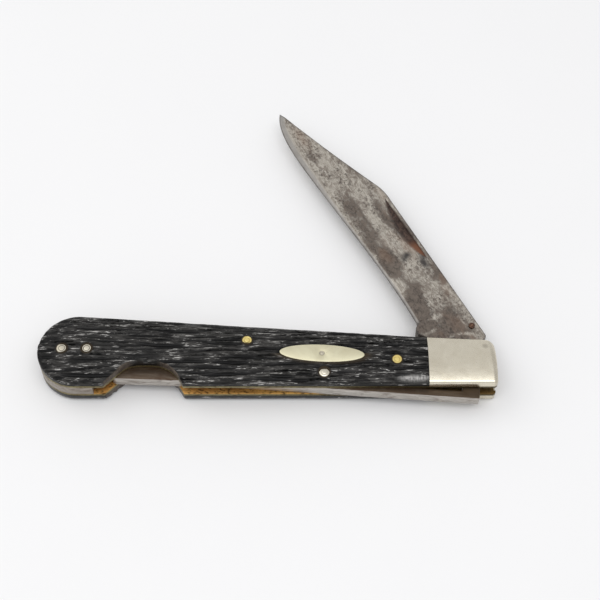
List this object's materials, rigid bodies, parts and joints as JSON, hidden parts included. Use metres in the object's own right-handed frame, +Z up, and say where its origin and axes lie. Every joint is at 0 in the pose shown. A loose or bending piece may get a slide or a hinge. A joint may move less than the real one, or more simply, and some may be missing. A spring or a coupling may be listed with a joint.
{
  "type": "whittling knife",
  "caption": "Lock-back folding whittling knife, clip-point blade half open, with black jigged scales, front bolsters and a rocking lock bar along the back.",
  "frame": {"origin": "Foot of the blade pivot's axis on the flat outer face of the back bolster, which the knife lies on.", "axes": "+X along the handle's back towards its front end, +Y the side the blade folds out of, +Z up through the handle's thickness."},
  "size_m": [0.1089, 0.0878, 0.0097],
  "materials": {
    "blade_steel": "worn and lightly rusted carbon steel",
    "spring_steel": "scratched grey steel",
    "nickel_silver": "satin nickel silver, warm grey",
    "brass": "dull brass",
    "jigged_scale": "black jigged composition, worn semi-gloss"
  },
  "bodies": {
    "handle": {"front_liner": "brass", "back_liner": "brass", "front_bolster": "nickel_silver", "back_bolster": "nickel_silver", "front_scale": "jigged_scale", "back_scale": "jigged_scale", "shield": "nickel_silver", "shield_pin": "nickel_silver", "front_scale_pin_rear": "brass", "front_scale_pin_front": "brass", "back_scale_pin_rear": "brass", "back_scale_pin_front": "brass", "butt_pin_rear": "nickel_silver", "butt_pin_front": "nickel_silver", "back_spring": "spring_steel", "lock_bar_pin": "nickel_silver", "blade_pivot_pin": "nickel_silver"},
    "blade": {"blade": "blade_steel", "tang_stop_pin": "blade_steel"},
    "lock_bar": {"lock_bar": "spring_steel"}
  },
  "joints": [
    {"name": "blade_pivot", "type": "hinge", "parent": "handle", "child": "blade", "pos_m": [0, 0, 0.00485], "axis": [0, 0, 1], "range_deg": [-117.9, 56.6]},
    {"name": "lock_bar_pivot", "type": "hinge", "parent": "handle", "child": "lock_bar", "pos_m": [-0.0339, -0.0051, 0.00485], "axis": [0, 0, 1], "range_deg": [-1.8, 0], "stiffness_Nm_per_rad": 0.5, "springref_deg": 5.16, "deforming": ["back_spring"]}
  ]
}
